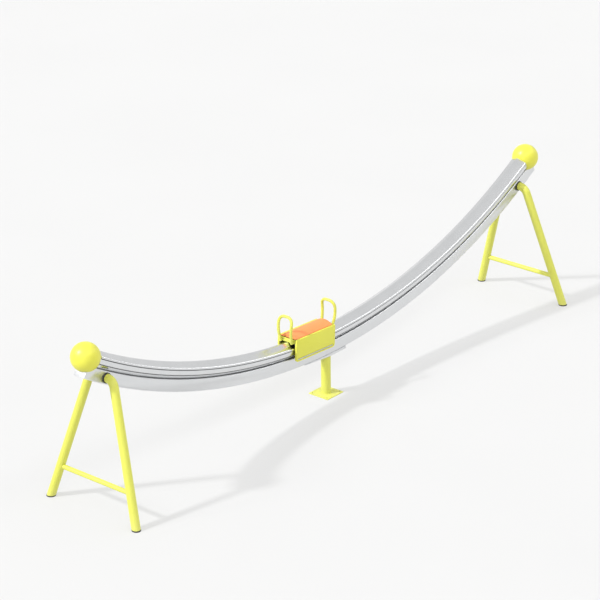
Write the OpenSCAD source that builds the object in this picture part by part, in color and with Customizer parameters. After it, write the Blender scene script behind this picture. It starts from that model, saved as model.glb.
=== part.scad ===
/* [Track arc] */
// Radius of the arc on which the crown of the rail lies
arc_radius = 5660; // [4800:10:7000]
// Height of the rail's crown at the lowest point of the arc
crown_height = 655; // [560:5:800]
// Angle from the lowest point to each end of the rail
rail_angle = 30.15; // [26:0.05:33]
// Length by which the beam reaches past each end of the rail
beam_overrun = 96; // [80:1:110]

/* [Rail profile] */
// Half of the rail's width over its lips
rail_half_w = 84; // [74:0.5:96]
// Radius of the rounded crown
crown_r = 45; // [30:1:60]
// Slope of the rail's shoulders below the crown
crown_slope = 28; // [18:1:34]
// Radius of each shoulder
shoulder_r = 18; // [10:1:24]
// Depth of the lip's lower edge below the crown
lip_depth = 52; // [50:1:60]
// Step from the lip in to the side face
lip_step = 4; // [2:0.5:6]
// Height of each side face
side_h = 46; // [36:1:56]
// Inward taper of each side face
side_taper = 3; // [0:0.5:5]
// Height of the whole rail
rail_h = 140; // [130:1:160]
// Half of the width of the rail's base
rail_base_half = 50; // [40:1:54]
// Wall thickness of the rail
rail_wall = 5; // [4:0.5:6]
// Depth of the three grooves along each side of the rail
groove_d = 9; // [5:0.5:10]
// Height of those grooves
groove_h = 8; // [4:0.5:9]

/* [Beam] */
// Width of the box beam
beam_w = 114; // [104:1:130]
// Depth of the box beam
beam_h = 110; // [96:1:130]
// Wall thickness of the beam
beam_wall = 5; // [4:0.5:8]
// Corner radius of the beam
beam_corner = 9; // [6:0.5:14]
// Thickness of the caps that close the rail and the beam
cap_t = 4; // [3:0.5:8]
// Depth of the saddle under the middle of the beam
saddle_h = 23; // [16:1:40]
// Half of the saddle's length
saddle_half_len = 213; // [190:1:260]
// Length of the ramp at the saddle's left end
ramp_len = 350; // [300:5:400]

/* [End balls] */
// Radius of each end ball
ball_r = 125; // [115:1:140]
// Depth of the ball's centre below the line of the crown
ball_depth = 80; // [70:1:90]
// Wall thickness of the ball
ball_wall = 6; // [4:0.5:10]
// Outer radius of the spigot that carries the ball
spigot_r = 30; // [20:1:36]
// Length of the spigot
spigot_len = 92; // [60:1:100]

/* [Legs] */
// Outer diameter of the leg tube
leg_d = 76.1; // [60.3:0.1:88.9]
// Wall thickness of the leg tube
leg_wall = 3.6; // [2.5:0.1:5]
// Angle along the arc at which the legs enter the beam
leg_angle = 28.55; // [25:0.05:28.6]
// Distance of the bend from the middle of the beam
leg_bend_y = 128; // [120:1:150]
// Radius of the bend, on the tube's centre line
leg_bend_r = 84; // [80:1:92]
// Distance of each foot from the middle, along the track
foot_x = 2966; // [2860:1:3050]
// Distance of each foot from the middle, across the track
foot_y = 489; // [400:1:600]
// Height of the crossbar between the legs of a pair
crossbar_z = 290; // [200:5:600]
// Outer diameter of the crossbar
crossbar_d = 42.4; // [33.7:0.1:60.3]
// Height of the rubber caps under the feet
foot_cap_h = 12; // [8:1:25]

/* [Centre post] */
// Outer diameter of the post
post_d = 88.9; // [76.1:0.1:114.3]
// Side of the square base plate
base_w = 220; // [180:1:300]
// Thickness of the base plate
base_t = 8; // [6:1:16]
// Spacing of the anchor holes
anchor_pitch = 170; // [140:1:170]
// Diameter of the anchor holes
anchor_d = 14; // [10:0.5:20]

/* [Carriage] */
// Angle along the arc at which the carriage stands
carriage_angle = -2.62; // [-20:0.05:20]
// Half of the length of the side panels
panel_half_len = 261; // [250:1:300]
// Distance from the middle to the inner face of a panel
panel_y = 92; // [90:0.5:104]
// Thickness of the side panels
panel_t = 18; // [12:0.5:22]
// Height of the panels above the crown
panel_top = 48; // [46:1:60]
// Reach of the panels below the crown
panel_drop = 155; // [148:1:160]
// Radius of the panels' lower corners
panel_corner = 24; // [10:1:40]
// Half of the length of the slot in each panel
slot_half_len = 244; // [200:1:246]
// Height of the slot
slot_h = 16; // [12:0.5:18]
// Thickness of the keeper bar that lies in the slot
keeper_t = 11; // [8:0.5:11.5]
// Height of the seat's ridge above the crown
seat_top = 78; // [76:1:100]
// Radius of the seat's curved top
seat_r = 160; // [130:1:400]
// Height of the deck's upper face above the crown
deck_z = 45; // [44:1:48]
// Thickness of the folded deck plate
deck_t = 5; // [4:0.5:6]

/* [Handles] */
// Outer radius of the handle tube
handle_r = 13.45; // [10:0.05:16]
// Height of the handle's top above the crown
handle_top = 264; // [220:1:340]
// Distance of each handle leg from the middle, at its foot
handle_foot_y = 62; // [56:1:66]
// Distance by which the handle's legs spread at half height
handle_spread = 12; // [0:1:18]
// Distance by which the handle bows away from the seat
handle_bow = 24; // [0:1:40]
// Radius of the handle's upper corners
handle_corner = 56; // [40:1:60]

/* [Wheels] */
// Rolling radius of the running wheels
wheel_r = 25; // [22:0.5:27]
// Half of the width of a running wheel
wheel_half_w = 25; // [20:0.5:28]
// Distance of each wheel axle from the middle of the carriage
wheel_x = 165; // [120:1:190]
// Diameter of the wheel axles
axle_d = 15; // [12:0.5:16]
// Outer diameter of the ball bearings
bearing_d = 32; // [28:0.5:35]
// Width of the ball bearings
bearing_w = 9; // [7:0.5:11]

/* [Hidden] */

// Clearances: between parts that only touch, in a running fit, and round a part that is slid in
touch_gap = 0.3;
pin_gap = 0.05;
slide_gap = 0.6;
// How far a cutting tool runs past what it cuts
cut = 1;
arc_fn = 720;
round_fn = 64;
per_radian = 180 / PI;

yellow = [0.93, 0.91, 0.36];
orange = [0.95, 0.62, 0.40];
satin = [0.80, 0.81, 0.82];
black = [0.10, 0.10, 0.10];
zinc = [0.66, 0.67, 0.68];
urethane = [0.25, 0.25, 0.26];

// Depth below the crown of the rail's upper face at distance y from the middle
crown_flat_y = crown_r * sin(crown_slope);
crown_flat_d = crown_r * (1 - cos(crown_slope));
function crown_depth(y) = y < crown_flat_y
    ? crown_r - sqrt(crown_r * crown_r - y * y)
    : crown_flat_d + (y - crown_flat_y) * tan(crown_slope);

arc_z = crown_height + arc_radius;
beam_half_w = beam_w / 2;
beam_top = rail_h + touch_gap;
beam_mid = beam_top + beam_h / 2;
beam_bottom = beam_top + beam_h;
saddle_top = beam_bottom + touch_gap;
saddle_bottom = saddle_top + saddle_h;
beam_angle = rail_angle + beam_overrun / (arc_radius + beam_top) * per_radian;
saddle_angle = saddle_half_len / (arc_radius + saddle_top) * per_radian;
saddle_ramp_angle = ramp_len / (arc_radius + saddle_top) * per_radian;
saddle_thin = 3;
side_y = rail_half_w - lip_step;
side_end = lip_depth + side_h;
saddle_wall = 6;

// Where the legs enter the beam, and how they lean
leg_x = (arc_radius + beam_mid) * sin(leg_angle);
leg_z = arc_z - (arc_radius + beam_mid) * cos(leg_angle);
leg_lean = atan((foot_x - leg_x) / leg_z);
leg_drop = leg_z / cos(leg_lean);
leg_splay = atan((foot_y - leg_bend_y) / leg_drop);
leg_bend = 90 - leg_splay;
leg_tangent = leg_bend_r * tan(leg_bend / 2);
leg_run = leg_drop / cos(leg_splay);
leg_start_y = 4;
foot_cap_lip = 0.6;
crossbar_wall = 2.6;
sleeve_wall = 4;
collar_w = 8;
collar_wall = 7;

// The carriage's own sizes
end_plate_t = 5;
seat_end_gap = 9;
seat_side_gap = 3;
seat_half_len = panel_half_len - end_plate_t - seat_end_gap;
seat_half_w = panel_y - seat_side_gap;
rail_clear = 3;
end_rise = panel_half_len * panel_half_len / (2 * arc_radius);
end_plate_z = end_rise + rail_clear;
frame_half_len = panel_half_len - end_plate_t - touch_gap;
flange_drop = 26;
wheel_angle = wheel_x / arc_radius * per_radian;
wheel_z = wheel_r + touch_gap;
wheel_top = wheel_z + wheel_r + crown_depth(wheel_half_w) + wheel_x * wheel_x / (2 * arc_radius);
slot_lip = 11;
slot_z = -panel_drop + slot_lip + slot_h / 2;
keeper_in_y = 64;
keeper_recess = 2;
keeper_rebate_h = 4;
keeper_rebate_d = 4.5;
keeper_screw_inset = 1.5;
keeper_w = panel_y + panel_t - keeper_recess - keeper_in_y;
glide_clear = 1.5;
glide_len = 80;
glide_h = 24;
glide_z = -(lip_depth + groove_h + side_end + glide_h) / 2;
wheel_room = 3;
glide_t = panel_y - side_y - glide_clear;
handle_foot_rise = 2;
handle_foot_z = end_plate_z + handle_foot_rise;
handle_x = panel_half_len + handle_r + touch_gap;
screw_r = 3;
screw_head_r = 5.5;
screw_head_h = 3.5;
screw_hole_d = 2 * (screw_r + touch_gap);

// Half of the rail's crown and shoulder as [y, depth], drawn a distance g inside the outer face,
// down to where the shoulder has turned through the given angle
shoulder_y = rail_half_w - shoulder_r;
shoulder_d = crown_depth(shoulder_y + shoulder_r * sin(crown_slope)) + shoulder_r * cos(crown_slope);
function rail_top(g, turned) = concat(
    [for (i = [0 : 3])
        let (a = crown_slope * i / 3)
        [(crown_r - g) * sin(a), crown_r - (crown_r - g) * cos(a)]],
    [for (i = [0 : 6])
        let (a = crown_slope + (turned - crown_slope) * i / 6)
        [shoulder_y + (shoulder_r - g) * sin(a), shoulder_d - (shoulder_r - g) * cos(a)]]
);

// The outside of half the rail, with grooves under the lip, the side face and the flank
side_foot_y = side_y - side_taper;
rail_outside = concat(
    rail_top(0, 90),
    [
        [rail_half_w, lip_depth],
        [side_y - groove_d, lip_depth],
        [side_y - groove_d, lip_depth + groove_h],
        [side_y, lip_depth + groove_h],
        [side_foot_y, side_end],
        [side_foot_y - groove_d, side_end],
        [side_foot_y - groove_d, side_end + groove_h],
        [side_foot_y - groove_d / 2, side_end + groove_h],
        [rail_base_half, rail_h - groove_h],
        [rail_base_half - groove_d, rail_h - groove_h],
        [rail_base_half - groove_d, rail_h]
    ]
);

// The hollow of half the rail
hollow_y = side_foot_y - groove_d - rail_wall;
hollow_base_y = rail_base_half - groove_d - rail_wall;
rail_inside = concat(
    rail_top(rail_wall, 72),
    [
        [hollow_y, lip_depth - rail_wall],
        [hollow_y, side_end + groove_h],
        [hollow_base_y, rail_h - rail_wall - groove_h],
        [hollow_base_y, rail_h - rail_wall]
    ]
);

// A closed [depth, y] outline from its half as [y, depth]
module mirrored_outline(half) {
    other = [for (i = [len(half) - 1 : -1 : 1]) [-half[i][0], half[i][1]]];
    polygon([for (p = concat(half, other)) [p[1], p[0]]]);
}

// Sweeps a [depth, y] outline along the arc between two angles
module sweep(from, to) {
    translate([0, 0, arc_z])
        rotate([90, 0, 0])
            rotate([0, 0, from - 90])
                rotate_extrude(angle = to - from, $fn = arc_fn)
                    translate([arc_radius, 0])
                        children();
}

// Places parts on the arc: x along the track, z up from the crown
module on_arc(angle) {
    translate([0, 0, arc_z])
        rotate([0, -angle, 0])
            translate([0, 0, -arc_radius])
                children();
}

// Stands a [depth, y] outline across the track and gives it a thickness along it
module plate_across(t) {
    rotate([0, 90, 0])
        linear_extrude(height = t)
            children();
}

module both_ends() {
    children();
    mirror([1, 0, 0]) children();
}

module both_sides() {
    children();
    mirror([0, 1, 0]) children();
}

module rounded_rect(w, h, r) {
    union() {
        square([w - 2 * r, h], center = true);
        square([w, h - 2 * r], center = true);
        for (x = [-1, 1], y = [-1, 1])
            translate([x * (w / 2 - r), y * (h / 2 - r)]) circle(r = r, $fn = round_fn);
    }
}

module along_y(d, from, to) {
    translate([0, to, 0])
        rotate([90, 0, 0])
            cylinder(d = d, h = to - from, $fn = round_fn);
}

// A screw that points up: its head's top face is at z = 0 and its shank rises from there
module screw_up(shank, r = screw_r, head_r = screw_head_r, head_h = screw_head_h) {
    union() {
        translate([0, 0, -head_h]) cylinder(r = head_r, h = head_h, $fn = round_fn);
        translate([0, 0, -cut / 2]) cylinder(r = r, h = shank + cut / 2, $fn = round_fn);
    }
}

function unit(v) = v / norm(v);

// The ring of radius r round point i of a path; the last ring can be cut square to another line
function ring(path, i, r, sides, foot_line) =
    let (
        last = len(path) - 1,
        along = unit(path[min(i + 1, last)] - path[max(i - 1, 0)]),
        out = unit([1, 0, 0] - along[0] * along),
        across = cross(along, out),
        line = i == last ? foot_line : along
    )
    [for (j = [0 : sides - 1])
        let (p = r * (cos(360 * j / sides) * out + sin(360 * j / sides) * across))
        path[i] + p - along * (p * line) / (along * line)];

// A hollow tube swept along a list of points, with open ends
module tube_along(path, r, wall, sides, foot_line) {
    last = len(path) - 1;
    count = 2 * len(path);
    outer = [for (i = [0 : last]) ring(path, i, r, sides, foot_line)];
    inner = [for (i = [last : -1 : 0]) ring(path, i, r - wall, sides, foot_line)];
    points = [for (loop = concat(outer, inner)) for (p = loop) p];
    faces = [for (i = [0 : count - 1], j = [0 : sides - 1])
        let (next = (i + 1) % count * sides, turn = (j + 1) % sides)
        [next + j, next + turn, i * sides + turn, i * sides + j]];
    polyhedron(points = points, faces = faces, convexity = 6);
}

// ---- Track ----

module glide_rail() {
    color(satin)
        sweep(-rail_angle, rail_angle)
            difference() {
                mirrored_outline(rail_outside);
                mirrored_outline(rail_inside);
            }
}

module rail_end_caps() {
    color(satin)
        both_ends()
            on_arc(rail_angle)
                difference() {
                    plate_across(cap_t) mirrored_outline(rail_outside);
                    translate([-cut, 0, -ball_depth])
                        rotate([0, 90, 0])
                            cylinder(r = spigot_r - ball_wall, h = cap_t + 2 * cut, $fn = round_fn);
                }
}

spigot_in_r = spigot_r - 4;

module ball_spigots() {
    color(zinc)
        both_ends()
            on_arc(rail_angle)
                translate([cap_t, 0, -ball_depth])
                    rotate([0, 90, 0])
                        difference() {
                            cylinder(r = spigot_r, h = spigot_len, $fn = round_fn);
                            translate([0, 0, -cut])
                                cylinder(r = spigot_in_r, h = spigot_len + 2 * cut, $fn = round_fn);
                        }
}

ball_x = beam_overrun + cap_t;
ball_screw_x = 46;
ball_screw_len = 24;

// The space a ball must leave free for the rail's end and the beam, with walls g thicker
module ball_seat(g) {
    block = 2 * ball_r + 2 * cut;
    notch_w = beam_w + 2 * (slide_gap + g);
    notch_rise = ball_x * ball_x / (2 * (arc_radius + beam_top));
    notch_top = -beam_top + notch_rise + slide_gap + g;
    translate([cap_t + touch_gap + g - block, -block / 2, -ball_depth - block / 2])
        cube([block, block, block]);
    translate([0, -notch_w / 2, notch_top - block])
        cube([ball_x + cap_t + 2 * slide_gap + g, notch_w, block]);
}

module end_ball() {
    color(yellow)
        on_arc(rail_angle)
            difference() {
                translate([ball_x, 0, -ball_depth]) sphere(r = ball_r, $fn = 96);
                ball_seat(0);
                difference() {
                    translate([ball_x, 0, -ball_depth]) sphere(r = ball_r - ball_wall, $fn = 96);
                    ball_seat(ball_wall);
                    translate([0, 0, -ball_depth])
                        rotate([0, 90, 0])
                            cylinder(r = spigot_r + slide_gap + ball_wall, h = 2 * ball_r, $fn = round_fn);
                    translate([ball_screw_x, 0, -rail_h])
                        cylinder(r = screw_r + ball_wall, h = ball_depth, $fn = round_fn);
                }
                translate([0, 0, -ball_depth])
                    rotate([0, 90, 0])
                        cylinder(r = spigot_r + touch_gap, h = cap_t + spigot_len + cut, $fn = round_fn);
                translate([ball_screw_x, 0, -rail_h])
                    cylinder(r = screw_r + touch_gap, h = ball_depth - spigot_r, $fn = round_fn);
            }
}

module end_ball_left() mirror([1, 0, 0]) end_ball();
module end_ball_right() end_ball();

module ball_screws() {
    color(zinc)
        both_ends()
            on_arc(rail_angle)
                translate([ball_screw_x, 0, -beam_top - beam_wall - touch_gap]) screw_up(ball_screw_len);
}

// ---- Beam ----

module beam_outline(g) {
    translate([beam_mid, 0])
        rounded_rect(beam_h - 2 * g, beam_w - 2 * g, beam_corner - g);
}

module leg_hole(d) {
    translate([leg_x, 0, leg_z]) along_y(d, -beam_w, beam_w);
}

sleeve_d = leg_d + 2 * slide_gap + 2 * sleeve_wall;

module support_beam() {
    color(satin)
        difference() {
            sweep(-beam_angle, beam_angle)
                difference() {
                    beam_outline(0);
                    beam_outline(beam_wall);
                }
            both_ends() {
                leg_hole(sleeve_d + 2 * touch_gap);
                on_arc(rail_angle)
                    translate([ball_screw_x, 0, -beam_top - 2 * beam_wall])
                        cylinder(r = screw_r + touch_gap, h = 3 * beam_wall, $fn = round_fn);
            }
            for (a = saddle_bolt_at, y = [-1, 1])
                on_arc(a)
                    translate([0, y * saddle_bolt_y, -beam_bottom - cut])
                        cylinder(r = bolt_r + touch_gap, h = beam_wall + 2 * cut, $fn = round_fn);
        }
}

plug_len = 12;
plug_wall = 3;

module beam_end_caps() {
    color(satin)
        both_ends()
            on_arc(beam_angle)
                union() {
                    plate_across(cap_t) beam_outline(0);
                    translate([-plug_len, 0, 0])
                        plate_across(plug_len)
                            difference() {
                                beam_outline(beam_wall + slide_gap);
                                beam_outline(beam_wall + plug_wall);
                            }
                }
}

module leg_sleeves() {
    color(zinc)
        both_ends()
            difference() {
                translate([leg_x, 0, leg_z]) along_y(sleeve_d, -beam_half_w, beam_half_w);
                leg_hole(leg_d + slide_gap);
                for (y = [-1, 1])
                    translate([leg_x, y * lock_y, leg_z - sleeve_d])
                        cylinder(r = screw_r + touch_gap, h = sleeve_d, $fn = round_fn);
            }
}

lock_y = 30;

module leg_lock_screws() {
    color(zinc)
        both_ends()
            both_sides()
                translate([leg_x, lock_y, leg_z - sleeve_d / 2 - touch_gap])
                    screw_up(sleeve_wall);
}

module leg_collars() {
    color(black)
        both_ends()
            both_sides()
                difference() {
                    translate([leg_x, 0, leg_z])
                        along_y(leg_d + 2 * collar_wall, beam_half_w + touch_gap, beam_half_w + collar_w);
                    leg_hole(leg_d + slide_gap);
                }
}

// ---- Legs ----

// A leg's own frame: its middle is on the beam's centre line and its bend lies in the YZ plane
module leg_frame() {
    translate([leg_x, 0, leg_z])
        rotate([0, -leg_lean, 0])
            children();
}

// A leg's straight run of diameter d, from the bend to below the floor
module leg_straight(d) {
    leg_frame()
        translate([0, leg_bend_y, 0])
            rotate([leg_splay, 0, 0])
                translate([0, 0, -leg_run - leg_d])
                    cylinder(d = d, h = leg_run + leg_d - leg_tangent, $fn = round_fn);
}

module below(z) {
    far = 3 * foot_x;
    translate([-far / 2, -far / 2, z - far]) cube([far, far, far]);
}

// The leg's centre line: a stub in the beam, the bend and the straight run down to the foot cap
leg_bend_steps = 12;
leg_stub_y = leg_bend_y - leg_tangent;
leg_length = leg_run * (1 - foot_cap_h / leg_z);
leg_path = concat(
    [[0, leg_start_y, 0]],
    [for (i = [0 : leg_bend_steps])
        let (a = leg_bend * i / leg_bend_steps)
        [0, leg_stub_y + leg_bend_r * sin(a), leg_bend_r * (cos(a) - 1)]],
    [[0, leg_bend_y + leg_length * sin(leg_splay), -leg_length * cos(leg_splay)]]
);

module leg() {
    color(yellow)
        leg_frame()
            tube_along(leg_path, leg_d / 2, leg_wall, 24, [sin(leg_lean), 0, cos(leg_lean)]);
}

module leg_right_far() leg();
module leg_right_near() mirror([0, 1, 0]) leg();
module leg_left_far() mirror([1, 0, 0]) leg();
module leg_left_near() mirror([1, 0, 0]) mirror([0, 1, 0]) leg();

module foot_caps() {
    color(black)
        both_ends()
            both_sides()
                difference() {
                    leg_straight(leg_d + 2 * foot_cap_lip);
                    below(0);
                    translate([0, 0, foot_cap_h]) mirror([0, 0, 1]) below(0);
                }
}

module crossbar() {
    y_at = leg_bend_y + (foot_y - leg_bend_y) * (1 - crossbar_z / leg_z);
    x_at = leg_x + (foot_x - leg_x) * (1 - crossbar_z / leg_z);
    color(yellow)
        difference() {
            translate([x_at, 0, crossbar_z]) along_y(crossbar_d, -y_at, y_at);
            translate([x_at, 0, crossbar_z])
                along_y(crossbar_d - 2 * crossbar_wall, -y_at - cut, y_at + cut);
            both_sides() leg_straight(leg_d + 2 * touch_gap);
        }
}

module crossbar_right() crossbar();
module crossbar_left() mirror([1, 0, 0]) crossbar();

// ---- Centre post ----

bolt_r = 6;
bolt_head_r = 11;
bolt_head_h = 8;
bolt_past = 12;
saddle_bolt_y = 30;
saddle_bolt_at = [0.38 * saddle_angle, 0.82 * saddle_angle];

// Everything below the saddle's ramp, which rises to the left from under the post, moved up by g
ramp_start_x = -14;
ramp_rise = saddle_h + ramp_len * ramp_len / (2 * (arc_radius + saddle_top)) - saddle_thin;
module below_ramp(g) {
    translate([ramp_start_x, 0, crown_height - saddle_bottom + g])
        rotate([0, atan(ramp_rise / ramp_len), 0])
            translate([-2 * ramp_len, -beam_w, -ramp_len])
                cube([2 * ramp_len, 2 * beam_w, ramp_len]);
}

module center_saddle() {
    hollow_angle = (saddle_half_len - saddle_wall) / (arc_radius + saddle_top) * per_radian;
    color(satin)
        difference() {
            sweep(-saddle_ramp_angle, saddle_angle)
                translate([saddle_top + saddle_h / 2, 0])
                    square([saddle_h, beam_w], center = true);
            below_ramp(0);
            difference() {
                sweep(-saddle_ramp_angle / 2, hollow_angle)
                    translate([saddle_top + saddle_h / 2, 0])
                        square([saddle_h - 2 * saddle_wall, beam_w - 2 * saddle_wall], center = true);
                below_ramp(saddle_wall);
            }
            for (a = saddle_bolt_at, y = [-1, 1])
                on_arc(a)
                    translate([0, y * saddle_bolt_y, -saddle_bottom - cut])
                        cylinder(r = bolt_r + touch_gap, h = saddle_h + 2 * cut, $fn = round_fn);
        }
}

module saddle_bolts() {
    color(zinc)
        for (a = saddle_bolt_at, y = [-1, 1])
            on_arc(a)
                translate([0, y * saddle_bolt_y, -saddle_bottom - touch_gap])
                    screw_up(saddle_h + beam_wall + bolt_past, bolt_r, bolt_head_r, bolt_head_h);
}

post_top = crown_height - saddle_bottom - pin_gap;

post_wall = 4;

module center_post() {
    color(yellow)
        difference() {
            translate([0, 0, base_t]) cylinder(d = post_d, h = post_top - base_t, $fn = round_fn);
            translate([0, 0, base_t - cut])
                cylinder(d = post_d - 2 * post_wall, h = post_top - base_t + 2 * cut, $fn = round_fn);
        }
}

module base_plate() {
    color(yellow)
        difference() {
            translate([-base_w / 2, -base_w / 2, 0]) cube([base_w, base_w, base_t]);
            for (x = [-1, 1], y = [-1, 1])
                translate([x * anchor_pitch / 2, y * anchor_pitch / 2, -cut])
                    cylinder(d = anchor_d, h = base_t + 2 * cut, $fn = round_fn);
        }
}

// ---- Carriage ----

module carriage() on_arc(carriage_angle) children();

module at_wheel(side) on_arc(carriage_angle + side * wheel_angle) translate([0, 0, wheel_z]) children();

module panel_outline() {
    h = panel_top + panel_drop;
    difference() {
        translate([-panel_half_len, -panel_drop]) square([2 * panel_half_len, h]);
        for (s = [-1, 1])
            difference() {
                translate([s * panel_half_len, -panel_drop])
                    square([2 * panel_corner, 2 * panel_corner], center = true);
                translate([s * (panel_half_len - panel_corner), panel_corner - panel_drop])
                    circle(r = panel_corner, $fn = round_fn);
            }
        translate([0, slot_z]) rounded_rect(2 * slot_half_len, slot_h, 0.49 * slot_h);
    }
}

panel_screw_x = [-215, -75, 75, 215];
panel_screw_z = 20;
panel_screw_cover = 5;
panel_screw_len = 16;
keeper_screw_len = 18;
low_head_h = 2.5;
keeper_screw_x = [-180, 0, 180];
glide_x = [-200, 200];

module side_panel() {
    color(yellow)
        carriage()
            difference() {
                translate([0, panel_y + panel_t, 0])
                    rotate([90, 0, 0])
                        linear_extrude(height = panel_t) panel_outline();
                for (x = panel_screw_x)
                    translate([x, 0, panel_screw_z])
                        along_y(screw_hole_d, panel_y - cut, panel_y + panel_t - panel_screw_cover);
                for (x = keeper_screw_x)
                    translate([x, keeper_screw_y, -panel_drop - cut])
                        cylinder(r = screw_r + touch_gap, h = slot_lip + 2 * cut, $fn = round_fn);
            }
}

module side_panel_far() side_panel();
module side_panel_near() mirror([0, 1, 0]) side_panel();

keeper_screw_y = panel_y + panel_t / 2 - keeper_screw_inset;
keeper_low = slot_z - slot_h / 2 + touch_gap;

module keeper_bars() {
    color(satin)
        carriage()
            both_sides()
                difference() {
                    translate([-slot_half_len + slot_h / 2, keeper_in_y, keeper_low])
                        cube([2 * slot_half_len - slot_h, keeper_w, keeper_t]);
                    translate([-slot_half_len, keeper_in_y + keeper_w - keeper_rebate_d, keeper_low - cut])
                        cube([2 * slot_half_len, keeper_rebate_d + cut, keeper_rebate_h + cut]);
                    for (x = keeper_screw_x)
                        translate([x, keeper_screw_y, keeper_low - cut])
                            cylinder(r = screw_r + touch_gap, h = keeper_t - keeper_recess, $fn = round_fn);
                }
}

module keeper_screws() {
    color(zinc)
        carriage()
            both_sides()
                for (x = keeper_screw_x)
                    translate([x, keeper_screw_y, -panel_drop - touch_gap])
                        screw_up(keeper_screw_len, head_h = low_head_h);
}

module carriage_frame() {
    window_x = 2 * (wheel_top - wheel_z + wheel_room);
    window_y = 2 * (wheel_half_w + wheel_room);
    color(zinc)
        difference() {
            carriage()
                difference() {
                    union() {
                        translate([-frame_half_len, -panel_y + touch_gap, deck_z - deck_t])
                            cube([2 * frame_half_len, 2 * (panel_y - touch_gap), deck_t]);
                        both_sides()
                            translate([-frame_half_len, panel_y - touch_gap - deck_t, -flange_drop])
                                cube([2 * frame_half_len, deck_t, flange_drop + deck_z]);
                    }
                    for (s = [-1, 1])
                        translate([s * wheel_x, 0, deck_z])
                            cube([window_x, window_y, 4 * deck_t], center = true);
                    for (x = panel_screw_x)
                        translate([x, 0, panel_screw_z])
                                along_y(screw_hole_d, -panel_y - cut, panel_y + cut);
                    for (x = seat_screw_x, y = [-1, 1])
                        translate([x, y * seat_screw_y, deck_z - deck_t - cut])
                            cylinder(r = screw_r + touch_gap, h = deck_t + 2 * cut, $fn = round_fn);
                }
            for (s = [-1, 1])
                at_wheel(s) along_y(axle_d + 2 * pin_gap, -panel_y - cut, panel_y + cut);
        }
}

module panel_screws() {
    color(zinc)
        carriage()
            both_sides()
                for (x = panel_screw_x)
                    translate([x, panel_y - touch_gap - deck_t - touch_gap, panel_screw_z])
                        rotate([-90, 0, 0]) screw_up(panel_screw_len, head_h = low_head_h);
}

module side_glides() {
    color(black)
        carriage()
            both_sides()
                for (x = glide_x)
                    translate([x - glide_len / 2, panel_y - touch_gap - glide_t, glide_z])
                        cube([glide_len, glide_t, glide_h]);
}

end_screw_y = 40;

module end_plate() {
    end_plate_half_w = panel_y - deck_t - glide_clear;
    color(yellow)
        carriage()
            difference() {
                translate([panel_half_len - end_plate_t, -end_plate_half_w, end_plate_z])
                    cube([end_plate_t, 2 * end_plate_half_w, deck_z - end_plate_z]);
                for (s = [-1, 1])
                    translate([panel_half_len - end_plate_t - cut, s * end_screw_y, end_screw_z])
                        rotate([0, 90, 0])
                            cylinder(r = screw_r + touch_gap, h = end_plate_t + 2 * cut, $fn = round_fn);
            }
}

end_screw_z = 0.68 * deck_z;
end_screw_len = 13;

module turned_carriage() {
    on_arc(carriage_angle)
        mirror([1, 0, 0])
            translate([0, 0, arc_radius])
                rotate([0, carriage_angle, 0])
                    translate([0, 0, -arc_z])
                        children();
}

module end_plate_right() end_plate();
module end_plate_left() turned_carriage() end_plate();

module end_plate_screws() {
    color(zinc)
        for (s = [-1, 1])
            on_arc(carriage_angle)
                at_end(s)
                    for (y = [-1, 1])
                        translate([panel_half_len + touch_gap, y * end_screw_y, end_screw_z])
                            rotate([0, -90, 0]) screw_up(end_screw_len, head_h = low_head_h);
}

module at_end(s) {
    if (s > 0) children();
    else mirror([1, 0, 0]) children();
}

// The handle's centre line: straight feet, spread legs, rounded corners and a level top
handle_top_z = handle_top - handle_r;
handle_leg_z = handle_top_z - handle_corner;
handle_rings = 8;
handle_wall = 2.6;
function handle_y_spread(z) =
    handle_foot_y + handle_spread * sin(90 * min(1, (z - handle_foot_z) / (handle_leg_z - handle_foot_z)));
function handle_bow_x(z) =
    handle_x + handle_bow * sin(165 * (z - handle_foot_z) / (handle_top_z - handle_foot_z));
function handle_half() = concat(
    [for (i = [0 : handle_rings - 1])
        let (z = handle_foot_z + (handle_leg_z - handle_foot_z) * i / handle_rings)
        [handle_bow_x(z), handle_y_spread(z), z]],
    [for (i = [0 : handle_rings])
        let (
            a = 90 * i / handle_rings,
            z = handle_leg_z + handle_corner * sin(a),
            y = handle_y_spread(handle_leg_z) - handle_corner * (1 - cos(a))
        )
        [handle_bow_x(z), y, z]]
);
function handle_path() = let (half = handle_half())
    concat(half, [for (i = [len(half) - 1 : -1 : 0]) [half[i][0], -half[i][1], half[i][2]]]);

module handle() {
    color(yellow)
        carriage() tube_along(handle_path(), handle_r, handle_wall, 16, [0, 0, 1]);
}

module handle_right() handle();
module handle_left() turned_carriage() handle();

seat_screw_x = [-90, 0, 90];
seat_screw_y = 55;
seat_screw_len = 18;

module seat_outline() {
    intersection() {
        translate([0, seat_top - seat_r]) circle(r = seat_r, $fn = 128);
        translate([-seat_half_w, deck_z]) square([2 * seat_half_w, seat_top]);
    }
}

module seat_pad() {
    pocket_x = 2 * (wheel_top - wheel_z + wheel_room);
    pocket_y = wheel_half_w + wheel_room;
    color(orange)
        carriage()
            difference() {
                translate([-seat_half_len, 0, 0])
                    rotate([90, 0, 90])
                        linear_extrude(height = 2 * seat_half_len) seat_outline();
                for (s = [-1, 1])
                    translate([s * wheel_x - pocket_x / 2, -pocket_y, deck_z - cut])
                        cube([pocket_x, 2 * pocket_y, wheel_top + wheel_room - deck_z + cut]);
                for (x = seat_screw_x, y = [-1, 1])
                    translate([x, y * seat_screw_y, deck_z - cut])
                        cylinder(r = screw_r + touch_gap, h = seat_screw_len - deck_t, $fn = round_fn);
            }
}

module seat_screws() {
    color(zinc)
        carriage()
            for (x = seat_screw_x, y = [-1, 1])
                translate([x, y * seat_screw_y, deck_z - deck_t - touch_gap])
                    screw_up(seat_screw_len - deck_t);
}

// ---- Wheels ----

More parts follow.
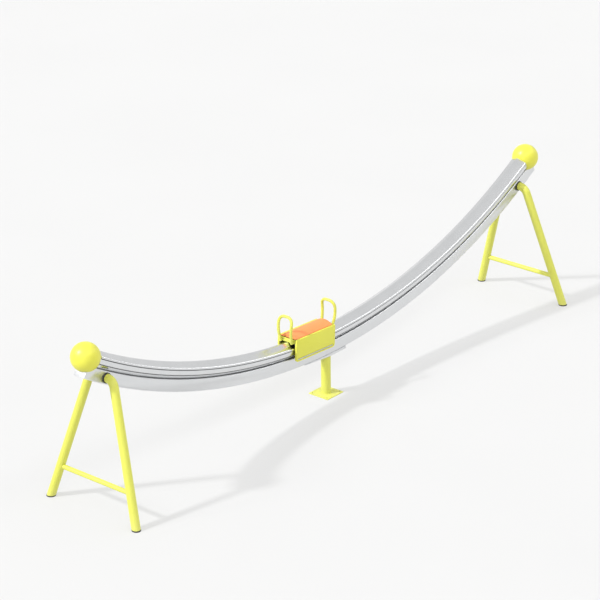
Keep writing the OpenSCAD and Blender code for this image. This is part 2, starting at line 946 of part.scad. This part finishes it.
clip_t = 1.5;
clip_rim = 3.5;
spacer_wall = 2.5;
wheel_bore_clear = 2;
clip_y = panel_y - touch_gap - deck_t - clip_t - touch_gap;

module wheel_axles() {
    color(zinc)
        for (s = [-1, 1])
            at_wheel(s) along_y(axle_d, -panel_y + 2 * touch_gap, panel_y - 2 * touch_gap);
}

module axle_clips() {
    color(zinc)
        for (s = [-1, 1])
            at_wheel(s)
                both_sides()
                    difference() {
                        along_y(axle_d + 2 * clip_rim, clip_y, clip_y + clip_t);
                        along_y(axle_d + 2 * pin_gap, clip_y - cut, clip_y + clip_t + cut);
                    }
}

module wheel_spacers() {
    color(zinc)
        for (s = [-1, 1])
            at_wheel(s)
                both_sides()
                    difference() {
                        along_y(axle_d + 2 * spacer_wall, wheel_half_w + touch_gap, clip_y - touch_gap);
                        along_y(axle_d + 2 * pin_gap, 0, panel_y);
                    }
}

module wheel(side) {
    steps = 12;
    bore_r = axle_d / 2 + wheel_bore_clear;
    seat_w = bearing_w + cut + 2 * pin_gap;
    color(urethane)
        at_wheel(side)
            rotate([90, 0, 0])
                rotate_extrude($fn = 96)
                    difference() {
                        polygon(concat(
                            [for (i = [-steps : steps])
                                let (y = wheel_half_w * i / steps)
                                [wheel_r + crown_depth(abs(y)), y]],
                            [[bore_r, wheel_half_w], [bore_r, -wheel_half_w]]
                        ));
                        for (s = [-1, 1])
                            translate([bearing_d / 4, s * (wheel_half_w - bearing_w / 2 + cut / 2)])
                                square([bearing_d / 2 + 2 * pin_gap, seat_w], center = true);
                    }
}

module wheel_bearings(side) {
    color(zinc)
        at_wheel(side)
            both_sides()
                difference() {
                    along_y(bearing_d, wheel_half_w - bearing_w, wheel_half_w);
                    along_y(axle_d + 2 * pin_gap, wheel_half_w - bearing_w - cut, wheel_half_w + cut);
                }
}

module wheel_left() wheel(-1);
module wheel_right() wheel(1);
module wheel_left_bearings() wheel_bearings(-1);
module wheel_right_bearings() wheel_bearings(1);

glide_rail();
rail_end_caps();
ball_spigots();
end_ball_left();
end_ball_right();
ball_screws();
support_beam();
beam_end_caps();
leg_sleeves();
leg_collars();
leg_lock_screws();
leg_left_near();
leg_left_far();
leg_right_near();
leg_right_far();
crossbar_left();
crossbar_right();
foot_caps();
center_saddle();
saddle_bolts();
center_post();
base_plate();
carriage_frame();
side_panel_near();
side_panel_far();
panel_screws();
keeper_bars();
keeper_screws();
side_glides();
end_plate_left();
end_plate_right();
end_plate_screws();
handle_left();
handle_right();
seat_pad();
seat_screws();
wheel_axles();
axle_clips();
wheel_spacers();
wheel_left();
wheel_left_bearings();
wheel_right();
wheel_right_bearings();
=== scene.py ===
import math

import bmesh
import bpy
from mathutils import Matrix, Quaternion, Vector


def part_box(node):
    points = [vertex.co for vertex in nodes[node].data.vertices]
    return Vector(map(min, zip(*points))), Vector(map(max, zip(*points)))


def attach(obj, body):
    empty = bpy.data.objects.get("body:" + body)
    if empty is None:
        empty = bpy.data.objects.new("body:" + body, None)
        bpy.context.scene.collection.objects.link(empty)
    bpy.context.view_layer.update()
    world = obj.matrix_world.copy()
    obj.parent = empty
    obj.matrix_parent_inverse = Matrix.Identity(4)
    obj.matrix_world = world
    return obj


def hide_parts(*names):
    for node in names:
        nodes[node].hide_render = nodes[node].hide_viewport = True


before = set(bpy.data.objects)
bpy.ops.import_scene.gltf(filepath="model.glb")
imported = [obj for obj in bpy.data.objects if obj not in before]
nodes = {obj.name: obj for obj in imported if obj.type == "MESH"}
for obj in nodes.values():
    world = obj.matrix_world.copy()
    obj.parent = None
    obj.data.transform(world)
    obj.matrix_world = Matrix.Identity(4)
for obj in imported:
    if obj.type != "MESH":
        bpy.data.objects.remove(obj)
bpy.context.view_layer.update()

# ---- The view, the floor and the light ----
# A long lens stands far off, low over the near left corner. The floor is pale and seamless. A crisp
# sun and a softer one fall from the left and behind, and the world glows evenly from all round, but
# for a brighter strip over the near side that draws a highlight along the rail.

view_target = Vector((0.0, 0.294856, 0.827251))
view_distance = 23.595555
view_azimuth = math.radians(-49.198)
view_elevation = math.radians(23.191)
view_roll = math.radians(-0.707)

view_back = Vector((
    math.sin(view_azimuth) * math.cos(view_elevation),
    -math.cos(view_azimuth) * math.cos(view_elevation),
    math.sin(view_elevation),
))


def place_object(name, data):
    """Adds an object to the scene."""
    thing = bpy.data.objects.new(name, data)
    bpy.context.collection.objects.link(thing)
    return thing


camera_data = bpy.data.cameras.new("camera")
camera_data.sensor_width = 36
camera_data.lens = 158.88
camera_data.clip_end = 600
camera = place_object("camera", camera_data)
camera.rotation_mode = "QUATERNION"
camera.rotation_quaternion = view_back.to_track_quat("Z", "Y") @ Quaternion((0, 0, 1), view_roll)
camera.location = view_target + view_distance * view_back
bpy.context.scene.camera = camera


class Wire:
    """A node's output. Sums and products of wires add Math nodes, and add() makes any other node."""

    def __init__(self, tree, socket):
        self.tree = tree
        self.socket = socket

    def add(self, kind, sockets, settings=None, output=0):
        node = self.tree.nodes.new(kind)
        for name, value in (settings or {}).items():
            setattr(node, name, value)
        self.connect(node, sockets)
        return Wire(self.tree, node.outputs[output])

    def connect(self, node, sockets):
        for name, value in sockets.items():
            if isinstance(value, Wire):
                self.tree.links.new(value.socket, node.inputs[name])
            else:
                node.inputs[name].default_value = value

    def axis(self, index):
        """One part of a vector: 0, 1 or 2 for x, y or z."""
        return self.add("ShaderNodeSeparateXYZ", {0: self}, output=index)

    def ramp(self, start, end, first, last):
        """Goes from first to last as this wire goes from start to end."""
        return self.add("ShaderNodeMapRange", {0: self, 1: start, 2: end, 3: first, 4: last})

    def math(self, operation, other=0.0):
        return self.add("ShaderNodeMath", {0: self, 1: other}, {"operation": operation})

    def __add__(self, other):
        return self.math("ADD", other)

    __radd__ = __add__

    def __sub__(self, other):
        return self.math("SUBTRACT", other)

    def __rsub__(self, other):
        return self.add("ShaderNodeMath", {0: other, 1: self}, {"operation": "SUBTRACT"})

    def __mul__(self, other):
        return self.math("MULTIPLY", other)

    __rmul__ = __mul__


def new_material(name):
    """A material, a wire of its Object coordinates, and its shader node."""
    material = bpy.data.materials.new(name)
    material.use_nodes = True
    tree = material.node_tree
    place = Wire(tree, tree.nodes.new("ShaderNodeTexCoord").outputs["Object"])
    return material, place, tree.nodes["Principled BSDF"]


def noise(place, scale, detail=2.0):
    return place.add("ShaderNodeTexNoise", {"Vector": place, "Scale": scale, "Detail": detail})


def blend_colours(amount, first, second):
    """A colour that goes from first to second as amount goes from 0 to 1."""
    return amount.add("ShaderNodeMix", {"Factor": amount, 6: first, 7: second},
                      {"data_type": "RGBA"}, output=2)


def bumps(height, distance):
    """A Normal from a height wire; distance is the height of 1 in metres."""
    return height.add("ShaderNodeBump", {"Height": height, "Distance": distance, "Strength": 1.0})


def pale_floor():
    material, place, shader = new_material("pale_floor")
    tone = noise(place, 0.6)
    place.connect(shader, {
        "Base Color": blend_colours(tone, (0.235, 0.235, 0.235, 1), (0.25, 0.25, 0.25, 1)),
        "Roughness": 1.0,
        "Specular IOR Level": 0.0,
        "Emission Color": (1, 1, 0.995, 1),
        "Emission Strength": 0.528,
    })
    return material


floor_size = 400
floor_mesh = bpy.data.meshes.new("floor")
floor_shape = bmesh.new()
bmesh.ops.create_grid(floor_shape, x_segments=1, y_segments=1, size=floor_size / 2)
floor_shape.to_mesh(floor_mesh)
floor_mesh.materials.append(pale_floor())
place_object("floor", floor_mesh)

for name, direction, energy, spread in (
    ("main_light", Vector((0.632, -0.342, -0.696)), 2.35, 4),
    ("soft_light", Vector((0.660, -0.400, -0.590)), 0.75, 16),
):
    light_data = bpy.data.lights.new(name, "SUN")
    light_data.energy = energy
    light_data.angle = math.radians(spread)
    light = place_object(name, light_data)
    light.rotation_mode = "QUATERNION"
    light.rotation_quaternion = direction.to_track_quat("-Z", "Y")

even_glow = 0.81
strip_angle = math.radians(38)
strip_half_w = math.radians(4)
strip_edge = 0.06
strip_glow = 3.2
world = bpy.data.worlds.new("studio")
world.use_nodes = True
sky = Wire(world.node_tree, world.node_tree.nodes.new("ShaderNodeTexCoord").outputs["Generated"])
off_strip = ((-1 * sky.axis(1)).math("ARCTAN2", sky.axis(2)) - strip_angle).math("ABSOLUTE")
glow = off_strip.ramp(strip_half_w, strip_half_w + strip_edge, strip_glow, 0.0) + even_glow
world_light = world.node_tree.nodes["Background"]
glow.connect(world_light, {"Color": (1, 1, 1, 1), "Strength": glow})
bpy.context.scene.world = world
bpy.context.scene.view_settings.view_transform = "Standard"


def dress(names, material):
    """Gives CAD nodes a finish."""
    for name in names:
        for slot in nodes[name].material_slots:
            slot.material = material


# ---- Rail, beam and saddle ----
# The rail and the beam under it are hollow aluminium extrusions, rolled to one arc. Fine lines from
# the die run along them. Plates close their ends, and a saddle takes the middle post.

arc_centre_z = 6.315
arc_radius = 5.66
rail_end_angle = math.radians(30.15)


def on_arc(angle):
    """The frame of a part that stands on the rail's crown: x along the track, z away from it."""
    return (Matrix.Translation((0, 0, arc_centre_z)) @ Matrix.Rotation(-angle, 4, "Y")
            @ Matrix.Translation((0, 0, -arc_radius)))


# Depths of the rail's grooves below the crown, where painted shade darkens the rail's colour.
groove_middles = (0.056, 0.102, 0.136)
groove_half_h = 0.004
groove_shade_edge = 0.0004
streaks_along = 3.0
streaks_across = 900.0


def aluminium_finish(name, roughness, shade_in_grooves):
    """Drawn aluminium with die lines along the arc, and, if asked, painted shade that darkens the rail's
    grooves.
    """
    material, place, shader = new_material(name)
    along = place.axis(0)
    drop = arc_centre_z - place.axis(2)
    turn = along.math("ARCTAN2", drop)
    reach = (along * along + drop * drop).math("SQRT")
    lines = place.add("ShaderNodeCombineXYZ", {
        0: turn * streaks_along, 1: place.axis(1) * streaks_across, 2: reach * streaks_across})
    streaks = noise(lines, 1.0)
    cloud = noise(place, 7.0, 4.0)
    clean = blend_colours(cloud, (0.70, 0.71, 0.72, 1), (0.76, 0.77, 0.78, 1))
    finish = {
        "Base Color": clean,
        "Metallic": 1.0,
        "Roughness": roughness + streaks * 0.12 + cloud * 0.06,
        "Normal": bumps(streaks, 0.00012),
    }
    if shade_in_grooves:
        # Painted shade: the bands of the rail's grooves are darkened in colour, and roughened, to stand
        # in for the shade inside them.
        offsets = [(reach - (arc_radius + middle)).math("ABSOLUTE") for middle in groove_middles]
        nearest = offsets[0].math("MINIMUM", offsets[1]).math("MINIMUM", offsets[2])
        groove_shade = nearest.ramp(groove_half_h - groove_shade_edge, groove_half_h + groove_shade_edge, 1.0, 0.0)
        finish["Base Color"] = blend_colours(groove_shade, clean, (0.22, 0.22, 0.225, 1))
        finish["Roughness"] = finish["Roughness"] + groove_shade * 0.35
    place.connect(shader, finish)
    return material


def finish_piece(name, shape, material, body, replaced=(), crease=30):
    """Makes a finished piece of a bmesh: smooth but for its sharp edges, on its body."""
    mesh = bpy.data.meshes.new(name)
    shape.to_mesh(mesh)
    shape.free()
    mesh.materials.append(material)
    mesh.polygons.foreach_set("use_smooth", [True] * len(mesh.polygons))
    mesh.set_sharp_from_angle(angle=math.radians(crease))
    piece = place_object(name, mesh)
    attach(piece, body)
    if replaced:
        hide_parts(*replaced)


merge_distance = 0.00001
flat_angle = math.radians(0.05)
sharp_angle = math.radians(25)


def merged_copy(node):
    """A bmesh of a CAD node with its loose triangles merged back into flat faces."""
    shape = bmesh.new()
    shape.from_mesh(nodes[node].data)
    bmesh.ops.remove_doubles(shape, verts=shape.verts, dist=merge_distance)
    bmesh.ops.dissolve_limit(shape, angle_limit=flat_angle, verts=shape.verts, edges=shape.edges)
    return shape


def eased(node, radius, material, body, segments=2):
    """A CAD node with its sharp edges rounded, as tumbling or a router leaves them."""
    shape = merged_copy(node)
    sharp = [edge for edge in shape.edges
             if len(edge.link_faces) == 2 and edge.calc_face_angle() > sharp_angle]
    bmesh.ops.bevel(shape, geom=sharp, offset=radius, offset_type="OFFSET", segments=segments,
                    profile=0.5, affect="EDGES", material=-1, clamp_overlap=True)
    finish_piece(node + "_eased", shape, material, body, [node])


rail_aluminium = aluminium_finish("rail_aluminium", 0.12, True)
aluminium = aluminium_finish("satin_aluminium", 0.27, False)
eased("glide_rail", 0.0008, rail_aluminium, "track")
eased("support_beam", 0.0006, aluminium, "track")
eased("center_saddle", 0.0010, aluminium, "track")
eased("beam_end_caps", 0.0008, aluminium, "track")
dress(["rail_end_caps"], aluminium)

# ---- End balls ----
# Each end ball is a hollow plastic moulding, cut flat to sit on the rail's end and notched to clear
# the beam. The two halves of its mould leave a fine parting line round its middle.

parting_depth = 0.0012
parting_half_w = 0.0016
ball_shrink = 0.9995
ball_flat_x = 0.0044
notch_size = Vector((0.220, 0.1152, 0.220))
notch_drop = 0.1392


def moulded_plastic():
    material, place, shader = new_material("yellow_moulded_plastic")
    grain = noise(place, 600.0)
    cloud = noise(place, 8.0, 3.0)
    place.connect(shader, {
        "Base Color": blend_colours(cloud, (0.66, 0.64, 0.055, 1), (0.70, 0.68, 0.075, 1)),
        "Roughness": 0.30 + cloud * 0.10 + grain * 0.04,
        "Normal": bumps(grain, 0.00008),
    })
    return material


def cut(shape, point, normal, drop_outer=False):
    """Cuts a shape's faces along a plane, and drops what is beyond it if asked."""
    bmesh.ops.bisect_plane(shape, geom=shape.verts[:] + shape.edges[:] + shape.faces[:],
                           dist=merge_distance, plane_co=point, plane_no=normal, clear_outer=drop_outer)


def evaluated(holder):
    """A bmesh of an object as its modifier or its bevel shapes it; the object itself goes."""
    shape = bmesh.new()
    shape.from_mesh(holder.evaluated_get(bpy.context.evaluated_depsgraph_get()).to_mesh())
    bpy.data.objects.remove(holder)
    return shape


def mesh_object(name, shape):
    mesh = bpy.data.meshes.new(name)
    shape.to_mesh(mesh)
    shape.free()
    return place_object(name, mesh)


def end_ball(name, side, material):
    low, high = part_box(name)
    radius = (high.y - low.y) / 2
    outer_x = high.x if side > 0 else low.x
    centre = Vector((outer_x - side * radius, 0, high.z - radius))
    shape = bmesh.new()
    bmesh.ops.create_uvsphere(shape, u_segments=128, v_segments=64, radius=radius,
                              matrix=Matrix.Rotation(math.pi / 2, 4, "X"))
    for cut_y in (-parting_half_w, 0, parting_half_w):
        cut(shape, (0, cut_y, 0), (0, 1, 0))
    for vert in shape.verts:
        if abs(vert.co.y) < parting_half_w / 2:
            vert.co *= 1 - parting_depth / radius
    bmesh.ops.scale(shape, vec=(ball_shrink,) * 3, verts=shape.verts)
    bmesh.ops.translate(shape, vec=centre, verts=shape.verts)
    end = on_arc(side * rail_end_angle)
    cut(shape, end @ Vector((side * ball_flat_x, 0, 0)), end.to_3x3() @ Vector((-side, 0, 0)), True)
    bmesh.ops.holes_fill(shape, edges=shape.edges)
    bmesh.ops.recalc_face_normals(shape, faces=shape.faces)
    cutter = bmesh.new()
    notch_centre = Vector((0, 0, -notch_drop - notch_size.z / 2))
    bmesh.ops.create_cube(cutter, size=1, matrix=end @ Matrix.Translation(notch_centre)
                          @ Matrix.Diagonal((*notch_size, 1)))
    notch = mesh_object("notch", cutter)
    ball = mesh_object("ball", shape)
    modifier = ball.modifiers.new("notch", "BOOLEAN")
    modifier.object = notch
    modifier.solver = "EXACT"
    carved = evaluated(ball)
    bpy.data.objects.remove(notch)
    finish_piece(name + "_moulding", carved, material, "track", [name], 40)


ball_plastic = moulded_plastic()
end_ball("end_ball_left", -1, ball_plastic)
end_ball("end_ball_right", 1, ball_plastic)

# ---- Legs and crossbars ----
# Each leg is one steel tube, bent to run level into the beam, and the pair at each end is tied by a
# crossbar welded between them. All of it is powder coated, which leaves a faint orange peel.

ends = (("left", -1), ("right", 1))
rows = (("near", -1), ("far", 1))
leg_radius = 0.03805
leg_facets = 48
leg_angle = math.radians(28.55)
beam_middle = 0.1953
leg_inner_y = 0.004
leg_bend_y = 0.128
leg_bend_radius = 0.084
leg_bend_steps = 20
leg_spare = 1.2
foot_x = 2.966
foot_y = 0.489
foot_cap_top = 0.012
leg_x = (arc_radius + beam_middle) * math.sin(leg_angle)
leg_z = arc_centre_z - (arc_radius + beam_middle) * math.cos(leg_angle)
leg_lean = math.atan((foot_x - leg_x) / leg_z)
leg_splay = math.atan((foot_y - leg_bend_y) / (leg_z / math.cos(leg_lean)))
leg_bend = math.pi / 2 - leg_splay
leg_stub = leg_bend_y - leg_bend_radius * math.tan(leg_bend / 2)


def powder_coat():
    material, place, shader = new_material("yellow_powder_coat")
    peel = noise(place, 350.0)
    fade = noise(place, 3.0, 3.0)
    dust = (place.axis(2) + noise(place, 9.0, 4.0) * 0.10).ramp(0.03, 0.20, 0.35, 0.0)
    clean = blend_colours(fade, (0.595, 0.605, 0.075, 1), (0.645, 0.655, 0.105, 1))
    place.connect(shader, {
        "Base Color": blend_colours(dust, clean, (0.58, 0.57, 0.20, 1)),
        "Roughness": 0.30 + fade * 0.14 + dust * 0.3,
        "Coat Weight": 0.12,
        "Normal": bumps(peel, 0.00022),
    })
    return material


def mirrored(shape, side_x, side_y):
    """Turns a shape made at the far right into the one at another corner."""
    bmesh.ops.transform(shape, matrix=Matrix.Diagonal((side_x, side_y, 1, 1)), verts=shape.verts)
    bmesh.ops.recalc_face_normals(shape, faces=shape.faces)
    return shape


def leg_shape():
    """The far right leg: level out of the beam, round the bend, and down past the floor to a cut."""
    shape = bmesh.new()
    start = Matrix.Translation((0, leg_inner_y, 0)) @ Matrix.Rotation(math.pi / 2, 4, "X")
    bmesh.ops.create_circle(shape, segments=leg_facets, radius=leg_radius, matrix=start)

    def extrude(edges, step):
        ring = bmesh.ops.extrude_edge_only(shape, edges=edges)["geom"]
        bmesh.ops.translate(shape, vec=step, verts=[v for v in ring if isinstance(v, bmesh.types.BMVert)])
        return [edge for edge in ring if isinstance(edge, bmesh.types.BMEdge)]

    ring = extrude(shape.edges[:], (0, leg_stub - leg_inner_y, 0))
    turned = bmesh.ops.spin(shape, geom=ring, cent=(0, leg_stub, -leg_bend_radius), axis=(1, 0, 0),
                            angle=-leg_bend, steps=leg_bend_steps, use_duplicate=False)["geom_last"]
    ring = [edge for edge in turned if isinstance(edge, bmesh.types.BMEdge)]
    extrude(ring, Vector((0, math.sin(leg_splay), -math.cos(leg_splay))) * leg_z * leg_spare)
    bmesh.ops.transform(shape, matrix=Matrix.Translation((leg_x, 0, leg_z))
                        @ Matrix.Rotation(-leg_lean, 4, "Y"), verts=shape.verts)
    cut(shape, (0, 0, foot_cap_top), (0, 0, -1), True)
    bmesh.ops.holes_fill(shape, edges=shape.edges)
    return shape


coat = powder_coat()
for end_name, side_x in ends:
    for row_name, side_y in rows:
        node = f"leg_{end_name}_{row_name}"
        finish_piece(node + "_tube", mirrored(leg_shape(), side_x, side_y), coat, "track",
                     [node])

crossbar_radius = 0.0212
crossbar_z = 0.290
crossbar_share = 1 - crossbar_z / leg_z
crossbar_x = leg_x + (foot_x - leg_x) * crossbar_share
crossbar_bead = 0.0028
crossbar_weld_points = 96
crossbar_weld_sink = 0.001
dress(["crossbar_left", "crossbar_right"], coat)


def swept_rod(name, points, radius, resolution, closed=False, swells=(1.0,)):
    """A round rod along a line of points; swells, taken in turn, scale it from point to point."""
    curve = bpy.data.curves.new(name, "CURVE")
    curve.dimensions = "3D"
    curve.bevel_depth = radius
    curve.bevel_resolution = resolution
    curve.use_fill_caps = not closed
    spline = curve.splines.new("POLY")
    spline.points.add(len(points) - 1)
    spline.use_cyclic_u = closed
    for index, (point, place) in enumerate(zip(spline.points, points)):
        point.co = (*place, 1)
        point.radius = swells[index % len(swells)]
    return evaluated(place_object(name, curve))


def weld_bead(name, points, size, body, closed=True):
    """A bead of weld metal along a line of points, with the ripples that the torch leaves."""
    shape = swept_rod(name, points, size, 3, closed, (1.0, 0.93, 0.82, 0.93))
    finish_piece(name, shape, coat, body, crease=60)


leg_foot = Vector((foot_x, foot_y, 0))
leg_line = (leg_foot - Vector((leg_x, leg_bend_y, leg_z))).normalized()


def crossbar_weld(side_x, side_y):
    """The line where the crossbar's skin runs into the leg's."""
    across = Vector((0, 1, 0))
    level = across - leg_line * across.dot(leg_line)
    points = []
    for index in range(crossbar_weld_points):
        turn = 2 * math.pi * index / crossbar_weld_points
        start = Vector((crossbar_x + crossbar_radius * math.cos(turn), 0,
                        crossbar_z + crossbar_radius * math.sin(turn))) - leg_foot
        offset = start - leg_line * start.dot(leg_line)
        a, b, c = level.dot(level), offset.dot(level), offset.dot(offset) - leg_radius ** 2
        y = (-b - math.sqrt(b * b - a * c)) / a
        point = start + leg_foot + across * (y - crossbar_weld_sink)
        points.append(Vector((side_x * point.x, side_y * point.y, point.z)))
    return points


for end_name, side_x in ends:
    for row_name, side_y in rows:
        weld_bead(f"crossbar_weld_{end_name}_{row_name}", crossbar_weld(side_x, side_y),
                  crossbar_bead, "track")

# ---- Feet, collars and leg fixings ----
# Rubber caps close the feet, and rubber collars seal the legs where they enter the beam. The legs
# slide into steel sleeves in the beam, which are zinc plated like every screw and axle. The frame
# inside the carriage gets a near-black zinc, which paints the shade in the gap under the end plates.


def black_rubber():
    material, place, shader = new_material("black_rubber")
    grain = noise(place, 300.0)
    scuffs = noise(place, 40.0, 4.0)
    place.connect(shader, {
        "Base Color": blend_colours(scuffs, (0.016, 0.016, 0.016, 1), (0.045, 0.044, 0.042, 1)),
        "Roughness": 0.55 + scuffs * 0.25,
        "Normal": bumps(grain, 0.0002),
    })
    return material


def zinc_finish(name, dark, light, roughness):
    material, place, shader = new_material(name)
    spangle = noise(place, 90.0, 3.0)
    place.connect(shader, {
        "Base Color": blend_colours(spangle, dark, light),
        "Metallic": 1.0,
        "Roughness": roughness + spangle * 0.18,
    })
    return material


rubber = black_rubber()
zinc = zinc_finish("zinc_steel", (0.50, 0.50, 0.51, 1), (0.64, 0.64, 0.65, 1), 0.30)
# Painted shade: a near-black zinc for the carriage frame stands in for the shade in the gap under the end
# plates.
frame_shade_zinc = zinc_finish("zinc_with_painted_shade", (0.06, 0.06, 0.062, 1), (0.11, 0.11, 0.112, 1), 0.42)
eased("foot_caps", 0.0022, rubber, "track", 3)
eased("leg_collars", 0.0018, rubber, "track", 3)
dress(["ball_spigots", "ball_screws", "leg_sleeves", "leg_lock_screws", "saddle_bolts",
       "panel_screws", "keeper_screws", "seat_screws", "wheel_axles", "axle_clips",
       "wheel_spacers", "wheel_left_bearings", "wheel_right_bearings"], zinc)
# The frame's near-black finish is painted shade.
dress(["carriage_frame"], frame_shade_zinc)

# ---- Post and base plate ----
# The middle post is a plain steel tube welded to a square plate, which four anchor bolts hold down.

dress(["center_post"], coat)
eased("base_plate", 0.0012, coat, "track")
post_radius = 0.04445
post_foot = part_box("center_post")[0].z
post_bead = 0.0034
post_weld_offset = 0.0012
post_weld_points = 180


def ring_of(radius, height):
    turns = [2 * math.pi * index / post_weld_points for index in range(post_weld_points)]
    return [Vector((radius * math.cos(turn), radius * math.sin(turn), height)) for turn in turns]


weld_bead("post_weld", ring_of(post_radius + post_weld_offset, post_foot + post_weld_offset),
          post_bead, "track")

# ---- Carriage: side boards, keeper bars and end plates ----
# Two thick polyethylene boards hang down beside the rail. A bar in the slot of each runs under the
# rail's flank, so that the carriage can't be lifted off. Folded steel plates close the seat's ends.

carriage_angle = math.radians(-2.62)
carriage = on_arc(carriage_angle)


def board_plastic():
    material, place, shader = new_material("yellow_board")
    pebble = noise(place, 260.0, 1.0)
    cloud = noise(place, 6.0, 3.0)
    place.connect(shader, {
        "Base Color": blend_colours(cloud, (0.645, 0.635, 0.06, 1), (0.68, 0.67, 0.08, 1)),
        "Roughness": 0.42 + cloud * 0.12,
        "Normal": bumps(pebble, 0.00025),
    })
    return material


board = board_plastic()
eased("side_panel_near", 0.0022, board, "carriage", 3)
eased("side_panel_far", 0.0022, board, "carriage", 3)
eased("keeper_bars", 0.0008, aluminium, "carriage")
eased("end_plate_left", 0.0010, coat, "carriage")
eased("end_plate_right", 0.0010, coat, "carriage")
dress(["end_plate_screws"], zinc)
dress(["side_glides"], rubber)

# ---- Handles ----
# Each handle is one steel tube, bent to a hoop that bows away from the rider and spreads in the
# middle of its legs. The legs are welded to the end plate on both of their sides.

plate_face_x = 0.261
handle_radius = 0.01345
handle_shrink = 0.998
handle_gap = 0.0003
handle_height = 0.264
handle_x = plate_face_x + handle_radius + handle_gap
handle_foot_y = 0.062
handle_foot_z = plate_face_x ** 2 / (2 * arc_radius) + 0.005
handle_top_z = handle_height - handle_radius
handle_corner = 0.056
handle_leg_z = handle_top_z - handle_corner
handle_bow = 0.024
handle_bow_turn = math.radians(165)
handle_spread = 0.012
leg_steps = 24
corner_steps = 16
handle_bead = 0.0024
handle_weld_out = 0.0018
handle_weld_aside = 0.0062
handle_weld_low = 0.004
handle_weld_length = 0.021
handle_weld_points = 24


def handle_point(z, inward=0.0):
    """A point of the near handle leg's middle line at height z in the carriage's own frame."""
    rise = min(1, (z - handle_foot_z) / (handle_leg_z - handle_foot_z))
    bow = math.sin(handle_bow_turn * (z - handle_foot_z) / (handle_top_z - handle_foot_z))
    spread = handle_spread * math.sin(math.pi / 2 * rise)
    return Vector((handle_x + handle_bow * bow, handle_foot_y + spread - inward, z))


def handle_path():
    """The middle line of a whole handle: up one leg, round its corner, and the same mirrored."""
    leg = [handle_point(handle_foot_z + (handle_leg_z - handle_foot_z) * index / leg_steps)
           for index in range(leg_steps)]
    for index in range(corner_steps + 1):
        turn = math.pi / 2 * index / corner_steps
        leg.append(handle_point(handle_leg_z + handle_corner * math.sin(turn),
                                handle_corner * (1 - math.cos(turn))))
    return leg + [Vector((point.x, -point.y, point.z)) for point in reversed(leg)]


def in_carriage(shape, side):
    """Places a shape made at the carriage's right end, or mirrors it to the left end."""
    bmesh.ops.transform(shape, matrix=carriage @ Matrix.Diagonal((side, 1, 1, 1)), verts=shape.verts)
    bmesh.ops.recalc_face_normals(shape, faces=shape.faces)
    return shape


def handle_seam(side, side_y, edge_y):
    """The line of a weld up one side of a handle's leg, on the end plate's face."""
    seam = []
    for index in range(handle_weld_points):
        z = handle_foot_z + handle_weld_low + handle_weld_length * index / (handle_weld_points - 1)
        y = side_y * (handle_point(z).y + edge_y * handle_weld_aside)
        seam.append(carriage @ Vector((side * (plate_face_x + handle_weld_out), y, z)))
    return seam


for end_name, side in ends:
    node = f"handle_{end_name}"
    handle = swept_rod("tube", handle_path(), handle_radius * handle_shrink, 10)
    bmesh.ops.remove_doubles(handle, verts=handle.verts, dist=merge_distance)
    finish_piece(node + "_tube", in_carriage(handle, side), coat, "carriage",
                 [node], 50)
    for row_name, side_y in rows:
        for edge_name, edge_y in (("inner", -1), ("outer", 1)):
            weld_bead(f"{node}_weld_{row_name}_{edge_name}", handle_seam(side, side_y, edge_y),
                      handle_bead, "carriage", closed=False)

# ---- Seat ----
# The seat is one block of moulded rubber with a curved top. It drops in between the boards and the
# end plates, and screws from below hold it. It's drawn about one per cent smaller than in the CAD,
# so that the gap all round it reads as a dark line.


def seat_rubber():
    material, place, shader = new_material("orange_rubber")
    grain = noise(place, 420.0)
    cloud = noise(place, 10.0, 4.0)
    place.connect(shader, {
        "Base Color": blend_colours(cloud, (0.78, 0.245, 0.07, 1), (0.84, 0.295, 0.10, 1)),
        "Roughness": 0.50 + cloud * 0.14,
        "Normal": bumps(grain, 0.0003),
    })
    return material


seat_shrink = (0.991, 0.986, 1)
seat = merged_copy("seat_pad")
bmesh.ops.transform(seat, matrix=carriage.inverted(), verts=seat.verts)
bmesh.ops.scale(seat, vec=seat_shrink, verts=seat.verts)
bmesh.ops.transform(seat, matrix=carriage, verts=seat.verts)
finish_piece("seat_pad_moulding", seat, seat_rubber(), "carriage", ["seat_pad"], 40)

# ---- Running wheels ----
# Two rollers of cast urethane, turned to the shape of the rail's crown, carry the carriage. They run
# hidden under the seat on zinc plated axles, and keep their CAD shapes.


def cast_urethane():
    material, place, shader = new_material("dark_urethane")
    wear = noise(place, 80.0, 3.0)
    place.connect(shader, {
        "Base Color": blend_colours(wear, (0.05, 0.05, 0.055, 1), (0.10, 0.10, 0.105, 1)),
        "Roughness": 0.4 + wear * 0.2,
    })
    return material


dress(["wheel_left", "wheel_right"], cast_urethane())
